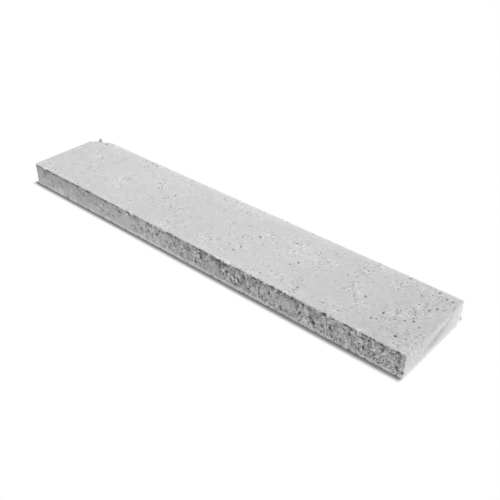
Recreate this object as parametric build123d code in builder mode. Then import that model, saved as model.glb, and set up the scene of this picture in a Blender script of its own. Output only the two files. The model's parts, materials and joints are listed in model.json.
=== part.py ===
from build123d import *
import os

# Concrete kerb stone for edging paths and lawns, cast in one piece.
# It lies on one of its wide sides, as it is stored.
# X runs along the kerb, Y from its foot to its crown, Z up from the ground.
# The origin is the middle of the side that it lies on.

# Overall size
kerb_length = 1000.0
kerb_height = 200.0
kerb_thickness = 50.0

# Long edges: the crown shows when the kerb is laid, the foot is buried
crown_radius = 14.0
foot_radius = 1.0

# Edges of the left end, which has been dragged and stood on and is worn round
left_upper_radius = 5.0
left_lower_radius = 8.0
left_upright_radius = 10.0

# Edges of the right end, which are nearly as cast but for its corner at the crown
right_upper_radius = 3.0
right_lower_radius = 4.5
right_foot_upright_radius = 2.5
right_crown_upright_radius = 15.0

# Corner broken off the upper side, at the left end of the crown
break_along_crown = 59.0
break_along_end = 38.0
break_depth = 26.0

# Chips knocked out of the upper edge of the foot: distance from the left end, width and depth
chip_places = [44.0, 346.0, 838.0]
chip_widths = [12.0, 30.0, 18.0]
chip_depths = [2.0, 3.5, 2.5]

half_length = kerb_length / 2
half_height = kerb_height / 2

with BuildPart() as kerb_stone:
    # Cross-section, drawn from foot to crown: the crown is soft and the foot is crisp
    with BuildSketch(Plane.YZ.offset(-half_length)) as section:
        with Locations((0, kerb_thickness / 2)):
            Rectangle(kerb_height, kerb_thickness)
        fillet(section.vertices().group_by(Axis.X)[-1], crown_radius)
        fillet(section.vertices().group_by(Axis.X)[0], foot_radius)
    extrude(amount=kerb_length)

    # Side view, which rounds the upper and lower edges of both ends
    with BuildSketch(Plane.XZ.offset(-half_height)) as elevation:
        with Locations((0, kerb_thickness / 2)):
            Rectangle(kerb_length, kerb_thickness)
        for corner, radius in [
            ((-half_length, kerb_thickness), left_upper_radius),
            ((-half_length, 0), left_lower_radius),
            ((half_length, kerb_thickness), right_upper_radius),
            ((half_length, 0), right_lower_radius),
        ]:
            fillet(elevation.vertices().sort_by_distance(corner)[0], radius)
    extrude(amount=kerb_height, mode=Mode.INTERSECT)

    # Plan, which rounds the four upright edges
    with BuildSketch(Plane.XY) as plan:
        Rectangle(kerb_length, kerb_height)
        for corner, radius in [
            ((-half_length, -half_height), left_upright_radius),
            ((-half_length, half_height), left_upright_radius),
            ((half_length, -half_height), right_foot_upright_radius),
            ((half_length, half_height), right_crown_upright_radius),
        ]:
            fillet(plan.vertices().sort_by_distance(corner)[0], radius)
    extrude(amount=kerb_thickness, mode=Mode.INTERSECT)

    # Broken corner: a flat break through one point on each of the three edges that met there
    break_on_crown = Vector(-half_length + break_along_crown, half_height, kerb_thickness)
    break_on_end = Vector(-half_length, half_height - break_along_end, kerb_thickness)
    break_below = Vector(-half_length, half_height, kerb_thickness - break_depth)
    break_run = break_on_crown - break_on_end
    break_normal = break_run.cross(break_below - break_on_end)
    split(bisect_by=Plane(break_on_end, x_dir=break_run, z_dir=break_normal), keep=Keep.BOTTOM)

    # Chips: shallow bowls that open on the edge
    for place, width, depth in zip(chip_places, chip_widths, chip_depths):
        bowl_radius = (width * width / 4 + depth * depth) / (2 * depth)
        bowl_offset = (bowl_radius - depth) / 2**0.5
        with Locations((place - half_length, -half_height - bowl_offset, kerb_thickness + bowl_offset)):
            Sphere(bowl_radius, mode=Mode.SUBTRACT)

kerb_stone.part.label = "kerb_stone"

os.makedirs("parts", exist_ok=True)
export_step(kerb_stone.part, "parts/kerb_stone.step")
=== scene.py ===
import json
import math
import random

import bpy
import numpy as np
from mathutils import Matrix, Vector, kdtree, noise

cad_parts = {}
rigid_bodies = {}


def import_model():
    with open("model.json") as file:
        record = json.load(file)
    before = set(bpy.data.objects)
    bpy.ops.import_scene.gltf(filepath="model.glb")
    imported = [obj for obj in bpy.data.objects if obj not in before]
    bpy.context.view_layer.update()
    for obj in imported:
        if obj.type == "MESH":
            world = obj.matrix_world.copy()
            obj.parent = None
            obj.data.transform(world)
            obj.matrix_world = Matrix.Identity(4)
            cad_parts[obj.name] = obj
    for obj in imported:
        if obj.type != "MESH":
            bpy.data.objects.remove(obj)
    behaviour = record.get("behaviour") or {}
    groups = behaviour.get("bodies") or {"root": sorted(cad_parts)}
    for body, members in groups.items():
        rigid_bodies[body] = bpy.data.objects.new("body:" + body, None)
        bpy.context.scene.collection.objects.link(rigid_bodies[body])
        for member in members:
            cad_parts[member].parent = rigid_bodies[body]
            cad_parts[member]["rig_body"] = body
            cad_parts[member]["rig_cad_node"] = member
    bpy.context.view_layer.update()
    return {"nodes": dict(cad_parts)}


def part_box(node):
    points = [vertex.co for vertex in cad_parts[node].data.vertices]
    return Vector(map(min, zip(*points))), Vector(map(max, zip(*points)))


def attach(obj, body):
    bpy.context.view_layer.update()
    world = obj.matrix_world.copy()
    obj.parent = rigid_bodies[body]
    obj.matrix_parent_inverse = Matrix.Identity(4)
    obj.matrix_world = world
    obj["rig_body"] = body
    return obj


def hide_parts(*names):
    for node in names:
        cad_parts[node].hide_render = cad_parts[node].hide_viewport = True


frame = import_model()
kerbLow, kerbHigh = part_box("kerb_stone")
mm = 0.001
kerbLength, kerbHeight, kerbThickness = ((high - low) / mm for low, high in zip(kerbLow, kerbHigh))
print("frame loaded")


def selectOnly(thing):
    bpy.ops.object.select_all(action="DESELECT")
    thing.select_set(True)
    bpy.context.view_layer.objects.active = thing


def applied(thing, kind, **settings):
    selectOnly(thing)
    modifier = thing.modifiers.new(kind.title(), kind)
    for name, value in settings.items():
        setattr(modifier, name, value)
    bpy.ops.object.modifier_apply(modifier=modifier.name)


def smoothStep(values, start, end):
    share = np.clip((values - start) / (end - start), 0, 1)
    return share * share * (3 - 2 * share)


def rising(values, strength, start, end):
    return strength * smoothStep(values, start, end)


def falling(values, strength, start, end):
    return strength * (1 - smoothStep(values, start, end))


# casting: the copy of the CAD kerb that is worn and pitted here; lengths in mm
casting = {
    "voxel": 1.2,
    "mostTriangles": 188000,
    "smoothAngle": 60,
    "seed": 7,
    "deepest": 5.0,
}

# waves and grain of the whole skin: size and depth
relief = {
    "swell": (90, 0.5),
    "ripple": (16, 0.25),
    "sand": (3.5, 0.18),
}

# the honeycombed foot: grains of gravel and sand with gaps between them
honeycomb = {
    "reach": 9,
    "grain": 3.1,
    "tall": 1.4,
    "drop": 2.0,
    "gap": 1.0,
    "gapWidth": 1.0,
    "warpSize": 4.5,
    "warp": 1.6,
    "smoothUntil": 120,
    "roughFrom": 640,
    "leastRough": 0.12,
    "mostRough": 1.02,
    "patchLength": 30,
    "patchHeight": 17,
    "pasteBelow": (0.6, 8, 18),
    "pasteUntil": (620, 760),
    "pasteAtEnd": (0.7, 988, 994),
    "openFrom": (380, 720),
}

# tones of the foot: its level, a painted light that makes the whole face paler, and what grains, gaps, drops
# and marks add to it; gaps and drops add painted shade in the crevices and sunken grains
footTones = {
    "level": 0.33,
    "grain": 1.2,
    "gap": 1.3,
    "drop": 1.1,
    "mark": 1.75,
    "markWarp": 0.9,
    "markQuiet": 0.75,
    "holeFrom": -1.1,
    "holeDepth": 1.2,
}

# broad tones of the foot, up from the ground or along the kerb: strength, where it sets in, where it is full;
# the bands up the foot are painted bounce light low down and painted shade higher up
footShades = {
    "leftPart": (230, 330),
    "lowerStripBounceLight": (0.45, 5, 12),
    "lowerArrisBounceLight": (0.9, 1, 5),
    "bounceStrip": (0.9, 5, 9),
    "bounceLessOnLeft": 0.6,
    "upperHalfShade": (0.15, 30, 44),
    "upperThirdShade": (0.30, 32, 42),
    "upperArrisShade": (0.75, 45.5, 48),
    "leftMiddleShade": (0.35, 8, 30),
    "leftUpperShade": (0.30, 42, 49),
    "leftEnd": (0.15, 60, 110),
    "paleStretch": (0.20, 280, 330, 420, 500),
    "darkStretch": (0.25, 420, 500, 780, 860),
    "streakSize": (2.2, 45),
    "streaks": (0.5, 660, 720),
    "endStreaks": (1.1, 940, 985),
}

# rough clusters in the foot: along the kerb, up from the ground, radius, how rough
footClusters = [
    (46, 38, 9, 0.6), (33, 14, 8, 0.4), (98, 30, 10, 0.35), (172, 37, 13, 0.65), (196, 25, 10, 0.5),
    (255, 20, 12, 0.5), (300, 31, 10, 0.45), (346, 44, 15, 0.8), (372, 18, 12, 0.6), (418, 34, 13, 0.8),
    (452, 17, 11, 0.7), (534, 27, 12, 0.9), (592, 42, 20, 1.0), (630, 27, 14, 0.9),
]

# painted light and shade of chips and scuffs in the upper arris, a painted highlight above and painted shade
# below: along the kerb, reach
chipLightAndShade = [(44, 7), (838, 10), (585, 14), (612, 10), (905, 8)]

# the broken corner: the plane of the break in the kerb's own mm, from its left foot corner on the ground
brokenCorner = {
    "onCrown": (59, 200, 50),
    "onEnd": (0, 162, 50),
    "below": (0, 200, 24),
    "within": (66, 155),
    "waves": (9.0, 3.5),
    "roughness": 2.6,
    "crumb": (7, 188, 6.0, 13.5),
}

# the spalled right end: an oblique ledge with a shallow hollow under it, with a painted shadow in the hollow
# and a painted highlight on the lip
spall = {
    "from": 42,
    "to": 158,
    "ledgeAt": 17,
    "ledgeRise": 0.25,
    "depth": 1.4,
    "tall": 24,
    "hollowShadow": 0.35,
    "darkestShadow": 0.45,
    "lipHighlight": 0.10,
}

# small chips along the arrises: how many, least radius, how much more and how deep they are for it
arrisChips = {
    "upper": {"count": 300, "least": 1.2, "more": 2.6, "depth": (0.25, 0.5), "denser": (250, 560)},
    "lower": {"count": 80, "least": 1.2, "more": 2.4, "depth": 0.35},
    "end": {"count": 40, "least": 1.2, "more": 2.4, "depth": 0.4},
}

# broad tones of the upper side and the right end: strength, where it sets in and where it is full;
# below zero it is measured from the crown; painted bounce light pales the end's lower part and painted shade
# darkens its upper part and the upper side's right part; the crown arris is a painted highlight
sideShades = {
    "endLowerBounceLight": (0.95, 2, 16),
    "endUpperShade": (0.15, 20, 36),
    "endCrown": (0.5, -45, -15),
    "topRightShade": (0.26, 640, 960),
    "footArris": (0.16, 8, 18),
    "crownArrisHighlight": (0.30, -32, -4),
    "darkest": -2.7,
    "palest": 1.9,
}

# inward way of each side: axis and sign
inward = {
    "foot": ("Y", 1), "crown": ("Y", -1), "top": ("Z", -1),
    "under": ("Z", 1), "left": ("X", 1), "right": ("X", -1),
}


def copyOfCasting():
    node = frame["nodes"]["kerb_stone"]
    selectOnly(node)
    bpy.ops.object.duplicate()
    kerb = bpy.context.object
    kerb.name = kerb.data.name = "castKerb"
    kerb.parent = None
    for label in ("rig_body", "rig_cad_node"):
        del kerb[label]
    bpy.ops.object.mode_set(mode="EDIT")
    bpy.ops.mesh.select_all(action="SELECT")
    bpy.ops.mesh.remove_doubles(threshold=0.02 * mm)
    bpy.ops.mesh.normals_make_consistent(inside=False)
    bpy.ops.object.mode_set(mode="OBJECT")
    kerb.data.materials.clear()
    applied(kerb, "REMESH", mode="VOXEL", voxel_size=casting["voxel"] * mm)
    return kerb


def cornersOf(kerb):
    places = np.empty(len(kerb.data.vertices) * 3, np.float32)
    kerb.data.vertices.foreach_get("co", places)
    return (places.reshape(-1, 3).astype(float) - np.array(kerbLow)) / mm


def paintGroup(kerb, name, weights):
    group = kerb.vertex_groups.new(name=name)
    steps = np.round(np.clip(weights, 0, 1) * 250).astype(int)
    order = np.argsort(steps, kind="stable")
    starts = np.searchsorted(steps[order], np.arange(252))
    for step in range(1, 251):
        members = order[starts[step]:starts[step + 1]]
        if len(members):
            group.add(members.tolist(), step / 250, "REPLACE")
    return group.name


def sinkSide(kerb, side, depths):
    axis, sign = inward[side]
    group = paintGroup(kerb, side, depths / casting["deepest"])
    applied(kerb, "DISPLACE", vertex_group=group, direction=axis, mid_level=0.0,
            strength=sign * casting["deepest"] * mm)


def sinkSkin(kerb, group, size, depth):
    texture = bpy.data.textures.new(group, "CLOUDS")
    texture.noise_scale = size * mm
    applied(kerb, "DISPLACE", vertex_group=group, texture=texture, texture_coords="LOCAL",
            mid_level=0.0, strength=-depth * mm)


# pits: air holes of each side, how many, their radius and how deep they are for it; the foot's are drawn out
pits = {
    "foot": {"count": 420, "radius": (0.9, 2.8), "depth": 0.9, "tall": 1.5},
    "drag": {"count": 420, "radius": (0.7, 1.2), "depth": 1.1, "tall": 6.0},
    "top": {"count": 500, "radius": (0.8, 1.8), "depth": 0.7},
    "under": {"count": 260, "radius": (0.8, 2.4), "depth": 0.6},
    "crown": {"count": 90, "radius": (0.7, 1.8), "depth": 0.6},
    "left": {"count": 16, "radius": (0.8, 2.2), "depth": 0.6},
    "right": {"count": 16, "radius": (0.8, 2.0), "depth": 0.6},
}

# air holes in the upper side that stand out: along the kerb, from the foot, radius, depth
topHoles = [
    (479, 137, 2.0, 1.8), (575, 88, 2.0, 1.8), (582, 97, 1.8, 1.6), (601, 111, 2.6, 2.4),
    (596, 59, 2.4, 2.0), (592, 42, 2.6, 2.0), (558, 128, 1.8, 1.6), (712, 91, 2.6, 2.0),
    (691, 38, 2.0, 1.7), (758, 30, 2.4, 2.0), (864, 87, 2.6, 2.6), (848, 76, 2.2, 1.8),
    (912, 70, 2.8, 2.2), (904, 44, 2.4, 1.6), (912, 48, 2.0, 1.4), (962, 83, 2.5, 2.8),
    (957, 90, 2.1, 2.2), (959, 32, 2.8, 2.8), (967, 126, 2.2, 2.2), (976, 138, 2.0, 1.8),
    (936, 154, 2.2, 1.8), (951, 108, 2.0, 1.8), (977, 75, 2.2, 1.8), (45, 178, 3.0, 2.6),
    (956, 182, 2.4, 2.2), (974, 173, 2.4, 1.8), (986, 173, 2.6, 1.8), (974, 139, 2.2, 1.6),
    (111, 77, 2.4, 0.9), (129, 87, 2.4, 0.9), (136, 68, 2.2, 0.8), (57, 38, 2.2, 0.8),
    (187, 182, 3.0, 1.4), (209, 181, 3.6, 1.6), (224, 180, 3.2, 1.4), (607, 188, 2.8, 1.6),
    (414, 50, 2.0, 0.8), (438, 39, 2.2, 0.8),
]

# marks seen on the foot: along the kerb, up from the ground, half their length and height, tone;
# the dark ones are painted shade of pits, and the darkest of them are holes
footMarks = [
    (38, 49, 3, 2, 1.2), (53, 48, 7, 3, -1.1), (40, 37, 7, 5, -0.55), (46, 43, 6, 3, -0.6),
    (33, 26, 5, 5, -0.25), (64, 27, 3, 2, -0.5), (54, 20, 5, 4, 0.35), (52, 15, 3, 2, -0.5),
    (40, 16, 8, 5, 0.35), (28, 14, 5, 2, 0.5), (10, 19, 3, 3, -0.8), (11, 9, 3, 4, -0.5),
    (95, 11, 14, 7, 0.5), (94, 5, 8, 3, 0.6), (74, 8, 5, 4, 0.5), (66, 17, 5, 9, -0.3),
    (80, 47, 12, 3, -0.5), (123, 46, 9, 4, -0.6), (120, 33, 4, 6, -0.4), (138, 26, 3, 3, 0.9),
    (148, 49, 3, 2, -0.9), (160, 48, 8, 2, -0.5), (200, 48, 7, 3, -1.5), (180, 35, 3, 4, -1.1),
    (173, 33, 4, 2, -0.7), (185, 32, 4, 2, -0.9), (181, 26, 3, 3, 1.1), (175, 28, 3, 2, 0.6),
    (160, 23, 8, 3, -0.6), (170, 20, 3, 2, -0.6), (149, 16, 4, 3, 0.5), (214, 31, 3, 2, -1.0),
    (226, 26, 6, 3, -0.8), (252, 36, 3, 2, -1.1), (243, 30, 4, 3, 0.5), (258, 26, 5, 3, 0.4),
    (244, 17, 4, 2, -0.5), (278, 29, 3, 2, -0.6), (281, 19, 3, 5, -0.5), (260, 47, 6, 4, -0.6),
    (244, 47, 3, 3, -0.5), (296, 40, 5, 7, -0.25), (208, 15, 10, 6, 0.3), (230, 18, 7, 6, 0.35),
    (120, 3, 6, 4, -1.2), (148, 7, 7, 3, 0.5), (206, 5, 8, 3, 0.6), (262, 5, 8, 4, 0.6),
    (333, 47, 7, 3, -1.5), (329, 42, 3, 3, 1.4), (337, 43, 4, 2, -1.3), (322, 49, 2, 2, 0.8),
    (362, 47, 5, 4, -0.6), (365, 31, 3, 4, -0.9), (354, 24, 6, 3, 0.4), (311, 30, 4, 6, -0.3),
    (377, 6, 5, 4, 0.9), (383, 13, 3, 3, 0.8), (388, 15, 3, 2, -0.9), (394, 12, 3, 5, 0.5),
    (399, 35, 5, 6, 0.3), (420, 31, 4, 3, -1.6), (421, 36, 3, 2, -0.5), (414, 24, 5, 2, 0.9),
    (421, 16, 6, 5, 0.4), (428, 26, 3, 2, -0.9), (432, 21, 3, 3, -0.8), (432, 7, 2, 3, -0.8),
    (448, 42, 5, 5, 0.5), (457, 47, 9, 4, -0.9), (447, 14, 4, 7, 0.6), (438, 8, 2, 4, -0.6),
    (448, 24, 4, 2, -0.9), (455, 15, 3, 2, -1.0), (477, 47, 4, 4, -0.9), (486, 44, 4, 5, -0.8),
    (503, 33, 4, 3, -1.3), (512, 39, 3, 3, -1.3), (530, 16, 3, 5, -1.6), (524, 14, 2, 5, 1.7),
    (544, 33, 3, 7, -2.2), (539, 39, 3, 2, -1.2), (537, 31, 4, 4, 0.9), (543, 22, 3, 3, 1.3),
    (548, 24, 3, 3, -0.9), (543, 48, 6, 3, -1.1), (560, 47, 6, 3, -1.0), (572, 42, 2, 8, -0.8),
    (592, 45, 7, 4, -1.3), (580, 46, 4, 4, -0.7), (605, 42, 4, 5, -1.3), (614, 44, 8, 4, -0.8),
    (611, 29, 3, 4, -1.9), (603, 27, 4, 4, 1.3), (632, 26, 3, 3, -2.2), (627, 22, 4, 3, 1.4),
    (626, 29, 3, 2, -1.0), (641, 25, 3, 3, -1.5), (637, 20, 2, 4, 1.3), (632, 10, 3, 4, -0.8),
    (617, 16, 2, 6, 0.7), (616, 9, 2, 3, -0.9), (654, 40, 3, 5, -1.2), (658, 33, 4, 3, -1.1),
    (659, 45, 3, 3, 1.0), (674, 42, 2, 4, -1.2), (682, 47, 7, 3, -1.1), (693, 31, 3, 3, -1.3),
    (693, 19, 2, 3, -0.9), (671, 13, 3, 3, -0.9), (682, 20, 10, 6, 0.3), (698, 47, 5, 2, -1.0),
    (724, 48, 7, 2, -1.1), (736, 31, 3, 3, -1.2), (743, 15, 2, 4, -1.2), (736, 15, 3, 5, 0.5),
    (758, 13, 2, 4, -0.9), (770, 47, 6, 3, -1.1), (788, 26, 2, 4, -2.0), (794, 44, 3, 3, -1.9),
    (782, 38, 3, 7, -0.8), (798, 36, 4, 5, 0.6), (807, 42, 6, 3, -0.9), (811, 25, 6, 3, -1.6),
    (817, 18, 4, 5, -2.6), (800, 14, 5, 4, 1.3), (812, 11, 3, 5, 1.1), (826, 36, 2, 6, -0.8),
    (838, 48, 4, 4, -1.8), (852, 25, 3, 3, -2.4), (847, 24, 2, 4, 0.9), (835, 24, 2, 5, -1.0),
    (861, 35, 2, 8, -0.8), (871, 31, 4, 3, 0.7), (882, 48, 3, 3, -1.5), (892, 34, 3, 4, -2.2),
    (900, 40, 4, 6, 0.4), (917, 40, 4, 2, -2.2), (910, 25, 2, 3, -1.3), (920, 21, 2, 5, -1.9),
    (916, 15, 3, 3, 1.5), (915, 31, 3, 4, 1.0), (919, 48, 4, 3, -1.2), (911, 13, 2, 3, -1.0),
    (935, 31, 2, 3, -1.4), (946, 30, 7, 7, 0.3), (956, 37, 3, 3, -2.4), (959, 32, 3, 3, 0.6),
    (952, 47, 5, 4, -1.0), (970, 20, 2, 4, -1.2), (983, 48, 3, 3, -1.5), (987, 12, 2, 3, -1.7),
    (995, 12, 2, 3, -1.7),
]

# stretches of the foot that are calmer than their surroundings: middle, half length and half height
calmPatches = [(336, 30, 20, 11), (576, 23, 15, 13), (682, 20, 14, 9), (722, 28, 34, 15), (768, 25, 14, 15)]

# marks on the upper side close to the foot: along the kerb, from the foot, half their length and width, tone;
# the second is the painted shadow at the edge of a chip whose pale face is the first
topMarks = [(340, 3, 7, 3, 1.6), (325, 5, 4, 3, -0.9), (838, 4, 7, 4, -0.6)]


def warped(places, size, amount):
    moved = places.copy()
    for index, place in enumerate(places):
        turn = noise.noise_vector(Vector(place) / size)
        moved[index] += (amount * turn.x, amount * turn.y, amount * turn.z)
    return moved


def softMarks(places, across, marks):
    tones = np.zeros(len(places))
    for a, b, halfLength, halfHeight, tone in marks:
        away = ((places[:, 0] - a) / halfLength) ** 2 + ((places[:, across] - b) / halfHeight) ** 2
        tones += tone * np.exp(-away ** 2)
    return tones


def pitDepths(places, holes, stretch, depths):
    near = places * stretch
    order = np.argsort(near[:, 0])
    near = near[order]
    for centre, radius, depth in holes:
        middle = np.array(centre) * stretch
        first, last = np.searchsorted(near[:, 0], (middle[0] - 1.7 * radius, middle[0] + 1.7 * radius))
        away = near[first:last] - middle
        gap = np.linalg.norm(away, axis=1) / radius
        bowl = depth * np.sqrt(np.clip(1 - gap ** 2.6, 0, 1))
        part = order[first:last]
        depths[part] = np.maximum(depths[part], bowl)


def scatterHoles(name, placeOne, chance=None):
    values = pits[name]
    draw = random.Random(casting["seed"] + sum(map(ord, name)))
    holes = []
    while len(holes) < values["count"]:
        centre = placeOne(draw)
        if chance and draw.random() > chance(centre):
            continue
        small, large = values["radius"]
        radius = small + (large - small) * draw.random() ** 2.2
        holes.append((centre, radius, radius * values["depth"] * draw.uniform(0.6, 1.3)))
    return holes


def footRoughness(along, up):
    ramp = smoothStep(along, honeycomb["smoothUntil"], honeycomb["roughFrom"])
    size = (honeycomb["patchLength"], honeycomb["patchHeight"])
    patches = np.array([noise.noise(Vector((a / size[0], b / size[1], 3.3))) for a, b in zip(along, up)])
    wanted = smoothStep(patches + 1.2 * ramp - 0.6, -0.15, 0.35)
    for a, b, radius, strength in footClusters:
        away = np.hypot(along - a, up - b) / radius + 0.8 * patches
        wanted = np.maximum(wanted, strength * (1 - smoothStep(away, 0.5, 1.1)))
    for a, b, halfLength, halfHeight in calmPatches:
        away = np.hypot((along - a) / halfLength, (up - b) / halfHeight) + 0.5 * patches
        wanted *= 1 - 0.7 * (1 - smoothStep(away, 0.6, 1.15))
    # the lower part of the foot and the upright arris at the right end have more paste
    wanted *= 1 - falling(up, *honeycomb["pasteBelow"]) * falling(along, 1, *honeycomb["pasteUntil"])
    wanted *= 1 - rising(along, *honeycomb["pasteAtEnd"])
    return honeycomb["leastRough"] + (honeycomb["mostRough"] - honeycomb["leastRough"]) * wanted


def footGrains(near):
    grain, tall = honeycomb["grain"], honeycomb["tall"]
    draw = random.Random(casting["seed"])
    seeds = []
    for column in range(int(kerbLength / grain) + 1):
        for row in range(int(kerbThickness / grain / tall) + 2):
            seeds.append(((column + draw.random()) * grain, 0, (row + draw.random()) * grain))
    tree = kdtree.KDTree(len(seeds))
    for index, seed in enumerate(seeds):
        tree.insert(seed, index)
    tree.balance()
    drops = np.array([draw.random() ** 2.4 for _ in seeds])
    shades = np.array([draw.uniform(-1, 1) for _ in seeds])
    inside, edge = np.empty(len(near), int), np.empty(len(near))
    for index, (a, _, c) in enumerate(near):
        first, second = tree.find_n((a, 0, c / tall), 2)
        inside[index] = first[1]
        edge[index] = second[2] - first[2]
    gap = 1 - smoothStep(edge, 0, honeycomb["gapWidth"])
    return drops[inside], shades[inside], gap


def broadFootTones(x, y, z):
    left = falling(x, 1, *footShades["leftPart"])
    bounce = footShades["bounceStrip"][0] - footShades["bounceLessOnLeft"] * left
    # painted bounce light makes the lower strip and the lower arris paler, and painted shade darkens the
    # upper half of the foot, the face below its upper arris and the middle and top of its left part
    tones = falling(z, *footShades["lowerStripBounceLight"]) + falling(z, *footShades["lowerArrisBounceLight"])
    tones += falling(z, bounce, *footShades["bounceStrip"][1:])
    tones -= rising(z, *footShades["upperHalfShade"]) + rising(z, *footShades["upperThirdShade"])
    tones -= rising(z, *footShades["upperArrisShade"]) * falling(y, 1, 0.6, 1.6)
    tones -= left * (rising(z, *footShades["leftMiddleShade"]) + rising(z, *footShades["leftUpperShade"]))
    tones -= falling(x, *footShades["leftEnd"])
    for name, sign in (("paleStretch", 1), ("darkStretch", -1)):
        strength, start, full, fading, end = footShades[name]
        tones += sign * rising(x, strength, start, full) * falling(x, 1, fading, end)
    across, upright = footShades["streakSize"]
    streaks = np.array([noise.noise(Vector((a / across, 0, c / upright))) for a, c in zip(x, z)])
    return tones + streaks * (rising(x, *footShades["streaks"]) + rising(x, *footShades["endStreaks"]))


def footRelief(kerb, tones, openness):
    places = cornersOf(kerb)
    members = np.nonzero(places[:, 1] < honeycomb["reach"])[0]
    own = places[members]
    x, y, z = own.T
    rough = footRoughness(x, z)
    near = warped(own, honeycomb["warpSize"], honeycomb["warp"])
    drops, shades, gap = footGrains(near)
    depths = rough * (drops * honeycomb["drop"] + gap * honeycomb["gap"])
    softened = warped(own, honeycomb["warpSize"], footTones["markWarp"])
    marks = softMarks(softened, 2, footMarks) * footTones["mark"]
    quiet = 1 - footTones["markQuiet"] * np.clip(np.abs(marks), 0, 1)
    # each grain keeps its own tone, and the gaps between grains and the sunken grains get painted shade
    grainTonesAndShade = footTones["grain"] * shades - footTones["gap"] * (gap - 0.3)
    grainTonesAndShade -= footTones["drop"] * (drops - 0.3)
    ownTones = rough * grainTonesAndShade * quiet + footTones["level"]

    def footPlace(draw):
        return (draw.uniform(0, kerbLength), 0, draw.uniform(1, kerbThickness - 1))

    def footChance(centre):
        return 0.9 * footRoughness(np.array(centre[:1]), np.array(centre[2:]))[0] ** 1.7

    holeDepths = np.zeros(len(own))
    for name in ("foot", "drag"):
        stretch = np.array((1.0, 0.0, 1 / pits[name]["tall"]))
        pitDepths(near, scatterHoles(name, footPlace, footChance), stretch, holeDepths)
    # painted shade in the holes, darker the deeper they are
    ownTones -= np.clip(holeDepths / 1.1, 0, 2.4) * quiet
    named = [((a, 0, c), math.sqrt(half * high), footTones["holeDepth"] * abs(tone))
             for a, c, half, high, tone in footMarks if tone < footTones["holeFrom"]]
    pitDepths(near, named, np.array((1.0, 0.0, 1.0)), holeDepths)
    ownTones += broadFootTones(x, y, z)
    face = falling(y, 1, 1.0, 3.2)
    tones[members] += ownTones * face
    # painted shade of pits at the dark marks, paler tone at the pale ones
    tones[members] += marks * falling(y, 1, 7, 9) * falling(z, 1, 49.0, 49.7)
    # each chip gets a painted highlight on its upper part and painted shade below it
    for a, reach in chipLightAndShade:
        away = np.hypot(x - a, 1.5 * (z - kerbThickness + 2)) / reach
        lit = smoothStep(z + 0.12 * (x - a), kerbThickness - 5, kerbThickness - 3)
        tones[members] += (2.6 * lit - 1.5) * falling(away, 1, 0.45, 0.85) * falling(y, 1, 5, 8)
    openness[members] = (0.25 + 0.75 * rough ** 1.5 * smoothStep(x, *honeycomb["openFrom"])) * face * quiet
    depths = np.maximum(depths, holeDepths)
    # the side turns away at its arrises, where less is taken off
    depths *= 1 - smoothStep(y, 1.5, 6)
    depths *= 1 - rising(z, 0.7, kerbThickness - 5, kerbThickness - 1)
    depths *= smoothStep(z, -2, 7)
    full = np.zeros(len(places))
    full[members] = depths
    sinkSide(kerb, "foot", full)


def plainSide(kerb, side, tones, placeOne, chance=None, named=()):
    places = cornersOf(kerb)
    x, y, z = places.T
    gapFromSide = {
        "crown": kerbHeight - y, "top": kerbThickness - z, "under": z, "left": x, "right": kerbLength - x,
    }[side]
    members = np.nonzero(gapFromSide < 4)[0]
    own = places[members]
    flat = np.array((1.0, 1.0, 1.0))
    flat["XYZ".index(inward[side][0])] = 0
    depths = np.zeros(len(own))
    near = warped(own, 3.0, 0.7)
    pitDepths(near, scatterHoles(side, placeOne, chance) + list(named), flat, depths)
    depths *= 1 - smoothStep(gapFromSide[members], 1, 4)
    # painted shade in the pits, darker the deeper they are
    tones[members] -= np.clip(depths / 0.9, 0, 2.2)
    full = np.zeros(len(places))
    full[members] = depths
    sinkSide(kerb, side, full)


def raggedArrises(kerb):
    draw = random.Random(casting["seed"] + 3)
    upper, lower, end = (arrisChips[name] for name in ("upper", "lower", "end"))

    def radiusOf(values):
        return values["least"] + values["more"] * draw.random() ** 2

    chips = []
    while len(chips) < upper["count"]:
        along = draw.uniform(3, kerbLength - 3)
        if draw.random() < 0.15 + 0.85 * smoothStep(np.array(along), *upper["denser"]):
            radius = radiusOf(upper)
            chips.append(((along, 0.4, kerbThickness - 0.4), radius, radius * draw.uniform(*upper["depth"])))
    for _ in range(lower["count"]):
        radius = radiusOf(lower)
        chips.append(((draw.uniform(3, kerbLength - 3), 0.6, 0.6), radius, radius * lower["depth"]))
    for _ in range(end["count"]):
        radius = radiusOf(end)
        place = (kerbLength - 0.5, draw.uniform(3, kerbHeight - 14), draw.choice((0.8, kerbThickness - 0.5)))
        chips.append((place, radius, radius * end["depth"]))
    places = cornersOf(kerb)
    depths = np.zeros(len(places))
    x, y, z = places.T
    members = np.nonzero((y < 6) | (x > kerbLength - 6))[0]
    own = np.zeros(len(members))
    pitDepths(warped(places[members], 2.5, 0.8), chips, np.ones(3), own)
    depths[members] = own
    group = paintGroup(kerb, "arrises", depths / casting["deepest"])
    applied(kerb, "DISPLACE", vertex_group=group, mid_level=0.0, strength=-casting["deepest"] * mm)


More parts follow.
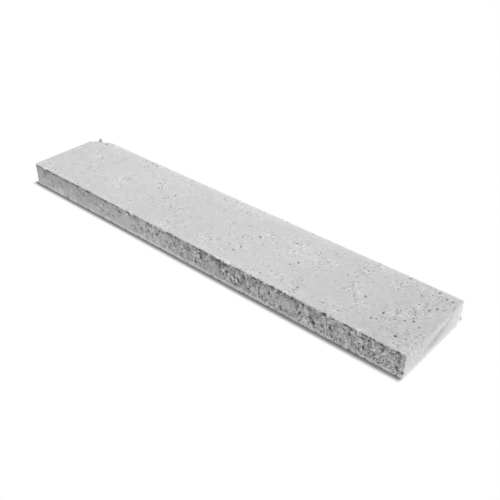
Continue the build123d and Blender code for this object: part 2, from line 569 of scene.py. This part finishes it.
def breakCorner(kerb, tones):
    onCrown, onEnd, below = (Vector(brokenCorner[point]) for point in ("onCrown", "onEnd", "below"))
    outward = (onCrown - onEnd).cross(below - onEnd).normalized()
    if outward.z < 0:
        outward.negate()
    places = cornersOf(kerb)
    height = np.abs((places - np.array(onEnd)) @ np.array(outward))
    alongReach, acrossFrom = brokenCorner["within"]
    near = np.nonzero((height < 2.0) & (places[:, 0] < alongReach) & (places[:, 1] > acrossFrom))[0]
    own = places[near]
    coarse, fine = brokenCorner["waves"]
    waves = np.array([noise.noise(Vector(place) / coarse) + 0.5 * noise.noise(Vector(place) / fine)
                      for place in own])
    inside = 1 - smoothStep(height[near], 1.0, 2.0)
    depths = np.zeros(len(places))
    depths[near] = np.clip(1.0 + 1.3 * waves, 0, 2.2) / 2.2 * brokenCorner["roughness"] * inside
    tones[near] += 0.9 * waves * inside
    x, y, radius, rise = brokenCorner["crumb"]
    crumb = np.linalg.norm(own[:, :2] - (x, y), axis=1) / radius
    stand = np.clip(1 - crumb ** 2, 0, 1) * inside
    depths[near] = depths[near] * (1 - np.minimum(1, 1.6 * stand)) - rise * stand
    tones[near] -= 1.2 * stand
    for name, sign in (("fracture", 1), ("crumb", -1)):
        group = paintGroup(kerb, name, np.clip(sign * depths, 0, None) / rise)
        applied(kerb, "DISPLACE", vertex_group=group, mid_level=0.0, strength=-sign * rise * mm)


def spallEnd(kerb, tones):
    places = cornersOf(kerb)
    near = np.nonzero(places[:, 0] > kerbLength - 4)[0]
    along, up = places[near, 1], places[near, 2]
    start, end = spall["from"], spall["to"]
    waves = np.array([noise.noise(Vector((a / 11, b / 60, 5.7))) for a, b in zip(along, up)])
    below = spall["ledgeAt"] + spall["ledgeRise"] * (along - start) + 3.5 * waves - up
    across = smoothStep(along, start, start + 28) * (1 - smoothStep(along, end - 18, end))
    hollow = smoothStep(below, 0, 2.5) * (1 - smoothStep(below, 8, spall["tall"]))
    hollow *= across * smoothStep(up, 3, 9)
    depths = np.zeros(len(places))
    depths[near] = spall["depth"] * hollow
    # painted shadow in the hollow under the ledge, darkest in its middle, and a painted highlight on the lip
    # above it
    darkest = smoothStep(along, 66, 90) * (1 - smoothStep(along, 120, 142))
    shadow = smoothStep(below, -1, 4) * (1 - smoothStep(below, 10, 22)) * across * smoothStep(up, 6, 14)
    tones[near] -= (spall["hollowShadow"] + spall["darkestShadow"] * darkest) * shadow
    tones[near] += spall["lipHighlight"] * across * smoothStep(along, 80, 105) * (1 - smoothStep(below, -3, 0))
    sinkSide(kerb, "right", depths)


def roughenSkin(kerb):
    places = cornersOf(kerb)
    # the hidden underside is left flatter, which saves triangles for the sides that show
    weights = 0.25 + 0.75 * smoothStep(places[:, 2], 0.5, 4)
    for name, (size, depth) in relief.items():
        paintGroup(kerb, name, weights)
        sinkSkin(kerb, name, size, depth)


def keepInside(kerb):
    places = np.empty(len(kerb.data.vertices) * 3, np.float32)
    kerb.data.vertices.foreach_get("co", places)
    places = np.clip(places.reshape(-1, 3), np.array(kerbLow), np.array(kerbHigh))
    kerb.data.vertices.foreach_set("co", places.astype(np.float32).ravel())
    kerb.data.update()


def broadSideTones(places):
    x, y, z = places.T
    fromCrown = y - kerbHeight
    # painted bounce light makes the right end paler near the ground, and painted shade makes it darker near
    # the top
    end = falling(z, *sideShades["endLowerBounceLight"]) - rising(z, *sideShades["endUpperShade"])
    tones = end * smoothStep(x, kerbLength - 6, kerbLength - 2)
    # marks on the upper side near the foot, among them a chip's painted shadow
    tones += softMarks(places, 1, topMarks) * smoothStep(z, 44, 46) * smoothStep(y, 0.5, 1.5)
    tones += rising(fromCrown, *sideShades["endCrown"]) * smoothStep(x, kerbLength - 5, kerbLength - 1)
    # painted shade darkens the upper side to the right; it is paler along its arris with the foot, and a
    # painted highlight lies along its crown arris
    top = falling(y, *sideShades["footArris"]) + rising(fromCrown, *sideShades["crownArrisHighlight"])
    return tones + smoothStep(z, 46, 49) * (top - rising(x, *sideShades["topRightShade"]))


def topChance(centre):
    patch = noise.noise(Vector((centre[0] / 40, centre[1] / 30, 8.1)))
    ramp = float(smoothStep(np.array(centre[0]), 350, 950))
    return (0.25 + 0.75 * ramp) * min(1, max(0.03, 0.4 + 1.9 * patch))


def wearKerb(kerb):
    noise.seed_set(casting["seed"])  # noise vectors follow the clock until this is set
    tones = np.zeros(len(kerb.data.vertices))
    openness = np.zeros(len(tones))
    roughenSkin(kerb)
    raggedArrises(kerb)
    breakCorner(kerb, tones)
    spallEnd(kerb, tones)
    footRelief(kerb, tones, openness)
    width, depth, tall = kerbLength, kerbHeight, kerbThickness
    plainSide(kerb, "top", tones, lambda draw: (draw.uniform(4, width - 4), draw.uniform(3, depth - 8), 0),
              topChance, [((a, b, 0), r, d) for a, b, r, d in topHoles])
    plainSide(kerb, "under", tones, lambda draw: (draw.uniform(5, width - 5), draw.uniform(3, depth - 8), 0))
    plainSide(kerb, "crown", tones, lambda draw: (draw.uniform(5, width - 5), 0, draw.uniform(2, tall - 2)))
    for side in ("left", "right"):
        plainSide(kerb, side, tones, lambda draw: (0, draw.uniform(3, depth - 8), draw.uniform(3, tall - 6)))
    keepInside(kerb)
    tones += broadSideTones(cornersOf(kerb))
    shade = np.clip(tones, sideShades["darkest"], sideShades["palest"])
    for name, values in (("shade", shade), ("open", openness)):
        stored = kerb.data.attributes.new(name, "FLOAT", "POINT")
        stored.data.foreach_set("value", values.astype(np.float32))
    print("kerb worn")


def finishMesh(kerb):
    triangles = 2 * len(kerb.data.polygons)
    print("triangles before thinning", triangles)
    if triangles > casting["mostTriangles"]:
        group = paintGroup(kerb, "thinned", smoothStep(cornersOf(kerb)[:, 1], 3, 5))
        applied(kerb, "DECIMATE", ratio=casting["mostTriangles"] / triangles, vertex_group=group)
    kerb.vertex_groups.clear()
    selectOnly(kerb)
    bpy.ops.object.shade_smooth_by_angle(angle=math.radians(casting["smoothAngle"]))
    kerb.data.calc_loop_triangles()
    print("triangles", len(kerb.data.loop_triangles))


# concrete: clouds by size, strength and detail, specks by count, share and radius
concrete = {
    "grey": (0.620, 0.620, 0.615, 1.0),
    "darkestLevel": 0.2,
    "shadeStrength": 0.30,
    "patches": (19, 1.0, 3),
    "broadClouds": (9, 0.16, 2),
    "clouds": (60, 0.18, 3),
    "sand": (190, 0.50, 3),
    "dust": (700, 0.40, 2),
    "darkSpecks": (200, 0.16, 0.27),
    "darkStrength": 0.44,
    "lightSpecks": (185, 0.20, 0.24),
    "lightStrength": 0.28,
    "pores": (340, 0.45, 0.36),
    "poreShade": 0.88,
    "grains": (410, 0.40, 0.34),
    "grainStrength": 0.92,
    "sheenClouds": (120, 1.0, 3),
    "roughness": (0.82, 0.98),
    "specular": 0.3,
    "bumpClouds": (300, 1.2, 4),
    "bumpDust": (1100, 0.7, 2),
    "bumpStrength": 0.8,
    "bumpDistance": 0.0009,
}


def addNode(tree, kind, at=(0, 0), **settings):
    made = tree.nodes.new(kind)
    made.location = at
    for name, value in settings.items():
        if name.startswith("in_"):
            made.inputs[name[3:]].default_value = value
        else:
            setattr(made, name, value)
    return made


def maths(tree, operation, first, second, at=(0, 0), clamp=False):
    made = tree.nodes.new("ShaderNodeMath")
    made.operation = operation
    made.use_clamp = clamp
    made.location = at
    for socket, value in zip(made.inputs, (first, second)):
        if isinstance(value, (int, float)):
            socket.default_value = value
        else:
            tree.links.new(value, socket)
    return made.outputs[0]


def spread(tree, value, low, high, lowTo=0.0, highTo=1.0, at=(0, 0)):
    made = addNode(tree, "ShaderNodeMapRange", at)
    tree.links.new(value, made.inputs["Value"])
    made.inputs["From Min"].default_value = low
    made.inputs["From Max"].default_value = high
    made.inputs["To Min"].default_value = lowTo
    made.inputs["To Max"].default_value = highTo
    return made.outputs["Result"]


def startGroup(name, inputs, outputs):
    group = bpy.data.node_groups.new(name, "ShaderNodeTree")
    for label, kind, value in inputs:
        socket = group.interface.new_socket(name=label, in_out="INPUT", socket_type=kind)
        if value is not None:
            socket.default_value = value
    for label, kind in outputs:
        group.interface.new_socket(name=label, in_out="OUTPUT", socket_type=kind)
    return group, addNode(group, "NodeGroupInput", (-900, 0)), addNode(group, "NodeGroupOutput", (600, 0))


def mottleGroup():
    group, start, end = startGroup(
        "cementMottle",
        [("Place", "NodeSocketVector", None), ("Size", "NodeSocketFloat", 30.0),
         ("Strength", "NodeSocketFloat", 0.1), ("Detail", "NodeSocketFloat", 3.0)],
        [("Tone", "NodeSocketFloat")])
    cloud = addNode(group, "ShaderNodeTexNoise", (-600, 0), in_Roughness=0.6)
    group.links.new(start.outputs["Place"], cloud.inputs["Vector"])
    group.links.new(start.outputs["Size"], cloud.inputs["Scale"])
    group.links.new(start.outputs["Detail"], cloud.inputs["Detail"])
    centred = maths(group, "SUBTRACT", cloud.outputs["Fac"], 0.5, (-300, 0))
    scaled = maths(group, "MULTIPLY", centred, start.outputs["Strength"], (-100, 0))
    group.links.new(scaled, end.inputs["Tone"])
    return group


def speckGroup():
    group, start, end = startGroup(
        "sandSpecks",
        [("Place", "NodeSocketVector", None), ("Count", "NodeSocketFloat", 500.0),
         ("Share", "NodeSocketFloat", 0.2), ("Radius", "NodeSocketFloat", 0.3)],
        [("Speck", "NodeSocketFloat")])
    cells = addNode(group, "ShaderNodeTexVoronoi", (-650, 0))
    group.links.new(start.outputs["Place"], cells.inputs["Vector"])
    group.links.new(start.outputs["Count"], cells.inputs["Scale"])
    parts = addNode(group, "ShaderNodeSeparateColor", (-450, -150))
    group.links.new(cells.outputs["Color"], parts.inputs[0])
    chosen = maths(group, "LESS_THAN", parts.outputs[0], start.outputs["Share"], (-250, -150))
    reach = maths(group, "MULTIPLY", start.outputs["Radius"], maths(
        group, "ADD", parts.outputs[1], 0.5, (-250, -350)), (-50, -300))
    inside = maths(group, "SUBTRACT", reach, cells.outputs["Distance"], (100, 0))
    soft = maths(group, "MULTIPLY", inside, 8.0, (250, 0), clamp=True)
    speck = maths(group, "MULTIPLY", soft, chosen, (400, 0))
    group.links.new(speck, end.inputs["Speck"])
    return group


def concreteMaterial():
    material = bpy.data.materials.new("castConcrete")
    material.use_nodes = True
    tree = material.node_tree
    surface = tree.nodes["Principled BSDF"]
    place = addNode(tree, "ShaderNodeTexCoord", (-1800, 0)).outputs["Object"]
    mottle, specks = mottleGroup(), speckGroup()

    def tone(size, strength, detail, at):
        used = addNode(tree, "ShaderNodeGroup", at, node_tree=mottle)
        tree.links.new(place, used.inputs["Place"])
        used.inputs["Size"].default_value = size
        used.inputs["Strength"].default_value = strength
        used.inputs["Detail"].default_value = detail
        return used.outputs["Tone"]

    def speck(count, share, radius, at):
        used = addNode(tree, "ShaderNodeGroup", at, node_tree=specks)
        tree.links.new(place, used.inputs["Place"])
        used.inputs["Count"].default_value = count
        used.inputs["Share"].default_value = share
        used.inputs["Radius"].default_value = radius
        return used.outputs["Speck"]

    patch = spread(tree, tone(*concrete["patches"], (-1500, 900)), -0.04, 0.15, 0.3, 2.6, (-1250, 900))
    total = maths(tree, "ADD", tone(*concrete["broadClouds"], (-1500, 700)),
                  tone(*concrete["clouds"], (-1500, 500)), (-1200, 500))
    fine = maths(tree, "ADD", tone(*concrete["sand"], (-1500, 200)),
                 tone(*concrete["dust"], (-1500, 0)), (-1050, 200))
    fine = maths(tree, "MULTIPLY", fine, patch, (-900, 200))
    total = maths(tree, "ADD", total, fine, (-750, 300))
    dark = maths(tree, "MULTIPLY", speck(*concrete["darkSpecks"], (-1500, -250)), patch, (-1200, -250))
    light = maths(tree, "MULTIPLY", speck(*concrete["lightSpecks"], (-1500, -450)), patch, (-1200, -450))
    total = maths(tree, "SUBTRACT", total, maths(
        tree, "MULTIPLY", dark, concrete["darkStrength"], (-1000, -250)), (-600, 200))
    total = maths(tree, "ADD", total, maths(
        tree, "MULTIPLY", light, concrete["lightStrength"], (-1000, -450)), (-450, 200))
    shade = addNode(tree, "ShaderNodeAttribute", (-1500, -650), attribute_name="shade")
    shaded = maths(tree, "MULTIPLY", shade.outputs["Fac"], concrete["shadeStrength"], (-1200, -650))
    total = maths(tree, "ADD", total, shaded, (-300, 200))
    # the open crust of the foot, where grains stand out and pores lie between them; the pores get painted
    # shade
    openness = addNode(tree, "ShaderNodeAttribute", (-2300, -650), attribute_name="open").outputs["Fac"]
    pores = maths(tree, "MULTIPLY", speck(*concrete["pores"], (-2300, -850)),
                  concrete["poreShade"], (-2000, -850))
    grains = maths(tree, "MULTIPLY", speck(*concrete["grains"], (-2300, -1050)),
                   concrete["grainStrength"], (-2000, -1050))
    crust = maths(tree, "SUBTRACT", grains, pores, (-1850, -950))
    total = maths(tree, "ADD", total, maths(tree, "MULTIPLY", crust, openness, (-1700, -950)), (-225, 200))
    level = maths(tree, "MAXIMUM", maths(
        tree, "ADD", total, 1.0, (-150, 200)), concrete["darkestLevel"], (0, 200))
    tint = addNode(tree, "ShaderNodeMix", (150, 200), data_type="RGBA", blend_type="MULTIPLY")
    tint.inputs["Factor"].default_value = 1.0
    tint.inputs[6].default_value = concrete["grey"]
    tree.links.new(level, tint.inputs[7])
    tree.links.new(tint.outputs[2], surface.inputs["Base Color"])
    sheen = tone(*concrete["sheenClouds"], (-1500, -850))
    rough = spread(tree, sheen, -0.2, 0.2, *concrete["roughness"], (-600, -400))
    tree.links.new(rough, surface.inputs["Roughness"])
    surface.inputs["Specular IOR Level"].default_value = concrete["specular"]
    height = maths(tree, "ADD", tone(*concrete["bumpClouds"], (-1500, -1050)),
                   tone(*concrete["bumpDust"], (-1500, -1250)), (-900, -1050))
    height = maths(tree, "SUBTRACT", height, maths(tree, "MULTIPLY", dark, 0.8, (-900, -1250)), (-700, -1050))
    height = maths(tree, "ADD", height, maths(tree, "MULTIPLY", light, 0.4, (-900, -1350)), (-600, -1050))
    crustHeight = maths(tree, "MULTIPLY", maths(
        tree, "MULTIPLY", crust, 2.0, (-1500, -1400)), openness, (-900, -1450))
    height = maths(tree, "ADD", height, crustHeight, (-500, -1050))
    bump = addNode(tree, "ShaderNodeBump", (-300, -800), in_Strength=concrete["bumpStrength"],
                   in_Distance=concrete["bumpDistance"])
    tree.links.new(height, bump.inputs["Height"])
    tree.links.new(bump.outputs["Normal"], surface.inputs["Normal"])
    return material


# studio: floor, contact shadow, lamps and camera; lengths in metres, angles in degrees
studio = {
    "floorSize": 8.0,
    "floorColour": (0.90, 0.90, 0.90, 1.0),
    "shadowStart": 4.5 * mm,
    "shadowEnd": 13.5 * mm,
    "contactWidth": 9 * mm,
    "contactShade": 0.34,
    "endShadowShare": 2.2,
    "litEndStart": 7 * mm,
    "litEndSlope": 2.0,
    "ambient": 0.48,
    "key": {"at": (-0.45, 0.45, 1.75), "size": 1.8, "power": 19.2},
    "endLight": {"at": (1.9, 0.25, 0.45), "size": 1.0, "power": 11.8},
    "backLight": {"at": (-0.2, 2.0, 0.5), "size": 1.2, "power": 12.0},
    "camera": (0.8765, -0.8935, 0.8155),
    "azimuth": 41.58,
    "elevation": 33.79,
    "lens": 51.96,
}


def seenRays(tree, at):
    rays = addNode(tree, "ShaderNodeLightPath", at)
    mirrored = maths(tree, "ADD", rays.outputs["Is Glossy Ray"], rays.outputs["Is Transmission Ray"],
                     (at[0] + 200, at[1]))
    return rays, maths(tree, "ADD", rays.outputs["Is Camera Ray"], mirrored, (at[0] + 400, at[1]), clamp=True)


def addFloor():
    bpy.ops.object.select_all(action="DESELECT")
    bpy.ops.mesh.primitive_plane_add(size=studio["floorSize"], location=(0, 0, kerbLow.z))
    floor = bpy.context.object
    floor.name = "floor"
    material = bpy.data.materials.new("paleFloor")
    material.use_nodes = True
    tree = material.node_tree
    surface = tree.nodes["Principled BSDF"]
    surface.inputs["Roughness"].default_value = 1.0
    surface.inputs["Specular IOR Level"].default_value = 0.0
    white = addNode(tree, "ShaderNodeEmission", (0, -200))
    blend = addNode(tree, "ShaderNodeMixShader", (300, 0))
    place = addNode(tree, "ShaderNodeTexCoord", (-1200, 200)).outputs["Object"]
    apart = addNode(tree, "ShaderNodeSeparateXYZ", (-1000, 200))
    tree.links.new(place, apart.inputs[0])
    half = (kerbHigh - kerbLow) / 2
    gapX = maths(tree, "MAXIMUM", maths(tree, "SUBTRACT", maths(
        tree, "ABSOLUTE", apart.outputs[0], 0, (-800, 300)), half.x, (-650, 300)), 0.0, (-500, 300))
    gapX = maths(tree, "MULTIPLY", gapX, studio["endShadowShare"], (-420, 350))
    litEnd = maths(tree, "SUBTRACT", apart.outputs[0], half.x - studio["litEndStart"], (-650, 500))
    litEnd = maths(tree, "MULTIPLY", maths(
        tree, "MAXIMUM", litEnd, 0.0, (-500, 500)), studio["litEndSlope"], (-420, 500))
    gapX = maths(tree, "MAXIMUM", gapX, litEnd, (-380, 420))
    gapY = maths(tree, "MAXIMUM", maths(tree, "SUBTRACT", maths(
        tree, "ABSOLUTE", apart.outputs[1], 0, (-800, 100)), half.y, (-650, 100)), 0.0, (-500, 100))
    squares = maths(tree, "ADD", maths(tree, "POWER", gapX, 2.0, (-350, 300)),
                    maths(tree, "POWER", gapY, 2.0, (-350, 100)), (-200, 200))
    distance = maths(tree, "SQRT", squares, 0, (-50, 200))
    rays, seen = seenRays(tree, (-600, 600))
    contact = spread(tree, distance, 0.0, studio["contactWidth"], studio["contactShade"], 1.0, (-500, -200))
    contact = maths(tree, "MAXIMUM", contact, maths(
        tree, "SUBTRACT", 1.0, rays.outputs["Is Camera Ray"], (-500, -400)), (-300, -200))
    tint = addNode(tree, "ShaderNodeMix", (-100, -200), data_type="RGBA", blend_type="MULTIPLY")
    tint.inputs["Factor"].default_value = 1.0
    tint.inputs[6].default_value = studio["floorColour"]
    tree.links.new(contact, tint.inputs[7])
    tree.links.new(tint.outputs[2], surface.inputs["Base Color"])
    away = addNode(tree, "ShaderNodeMapRange", (100, 300), interpolation_type="SMOOTHSTEP")
    away.inputs["From Min"].default_value = studio["shadowStart"]
    away.inputs["From Max"].default_value = studio["shadowEnd"]
    tree.links.new(distance, away.inputs["Value"])
    share = maths(tree, "MULTIPLY", away.outputs["Result"], seen, (250, 400))
    tree.links.new(share, blend.inputs[0])
    tree.links.new(surface.outputs[0], blend.inputs[1])
    tree.links.new(white.outputs[0], blend.inputs[2])
    tree.links.new(blend.outputs[0], tree.nodes["Material Output"].inputs["Surface"])
    floor.data.materials.append(material)


def lightWorld():
    world = bpy.data.worlds.new("studio")
    bpy.context.scene.world = world
    world.use_nodes = True
    tree = world.node_tree
    tree.nodes.clear()
    out = addNode(tree, "ShaderNodeOutputWorld", (600, 0))
    blend = addNode(tree, "ShaderNodeMixShader", (400, 0))
    soft = addNode(tree, "ShaderNodeBackground", (100, -100), in_Strength=studio["ambient"])
    soft.inputs["Color"].default_value = (1, 1, 1, 1)
    white = addNode(tree, "ShaderNodeBackground", (100, -300), in_Strength=1.0)
    white.inputs["Color"].default_value = (1, 1, 1, 1)
    tree.links.new(seenRays(tree, (-300, 200))[1], blend.inputs[0])
    tree.links.new(soft.outputs[0], blend.inputs[1])
    tree.links.new(white.outputs[0], blend.inputs[2])
    tree.links.new(blend.outputs[0], out.inputs[0])


def addSoftbox(name, values, target):
    bpy.ops.object.light_add(type="AREA", location=values["at"])
    lamp = bpy.context.object
    lamp.name = name
    lamp.data.shape = "DISK"
    lamp.data.size = values["size"]
    lamp.data.energy = values["power"]
    lamp.rotation_euler = (Vector(target) - Vector(values["at"])).to_track_quat("-Z", "Y").to_euler()


def addCamera():
    bpy.ops.object.camera_add(location=studio["camera"], rotation=(
        math.radians(90 - studio["elevation"]), 0, math.radians(studio["azimuth"])))
    camera = bpy.context.object
    camera.data.lens = studio["lens"]
    bpy.context.scene.camera = camera


addCamera()
lightWorld()
addSoftbox("keyLight", studio["key"], (0, 0, 0))
addSoftbox("endLight", studio["endLight"], (kerbHigh.x, 0, 0.02))
addSoftbox("backLight", studio["backLight"], (0, 0, 0.02))
addFloor()
bpy.context.scene.view_settings.view_transform = "Standard"
print("studio ready")

kerb = copyOfCasting()
wearKerb(kerb)
finishMesh(kerb)
kerb.data.materials.append(concreteMaterial())
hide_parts("kerb_stone")
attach(kerb, "root")
print("kerb finished")
